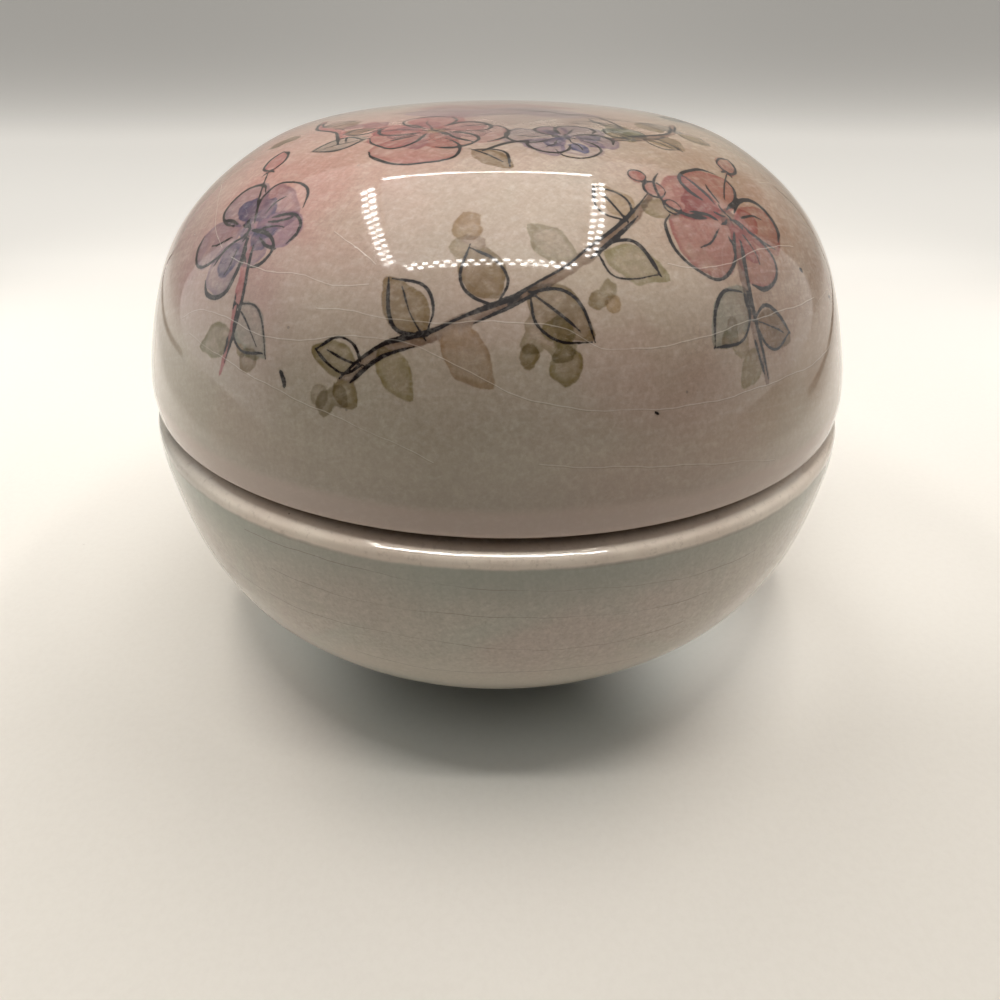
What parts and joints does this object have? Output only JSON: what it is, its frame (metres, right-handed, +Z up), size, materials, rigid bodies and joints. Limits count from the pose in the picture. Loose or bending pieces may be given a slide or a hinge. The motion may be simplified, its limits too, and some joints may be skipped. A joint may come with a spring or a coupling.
{
  "type": "lidded bowl",
  "caption": "Round glazed ceramic bowl with a deep domed lift-off lid that seats on the rim around an inner locating flange.",
  "frame": {"origin": "centre of the foot ring on the table", "axes": "+Z up along the turning axis, the way the lid lifts off; -Y is the side the picture shows"},
  "size_m": [0.162, 0.1621, 0.1185],
  "materials": {
    "bowl_glaze": "clear glossy glaze with fine crazing over a warm grey-white body, faint green and pink tints",
    "lid_glaze": "clear glossy glaze with fine crazing over a warm off-white body with soft watercolour washes and thin ink lines"
  },
  "bodies": {
    "bowl": {"bowl": "bowl_glaze"},
    "lid": {"lid": "lid_glaze"}
  },
  "joints": [
    {"name": "lid_lift", "type": "slide", "parent": "bowl", "child": "lid", "axis": [0, 0, 1], "range_m": [0, 0.12]}
  ]
}
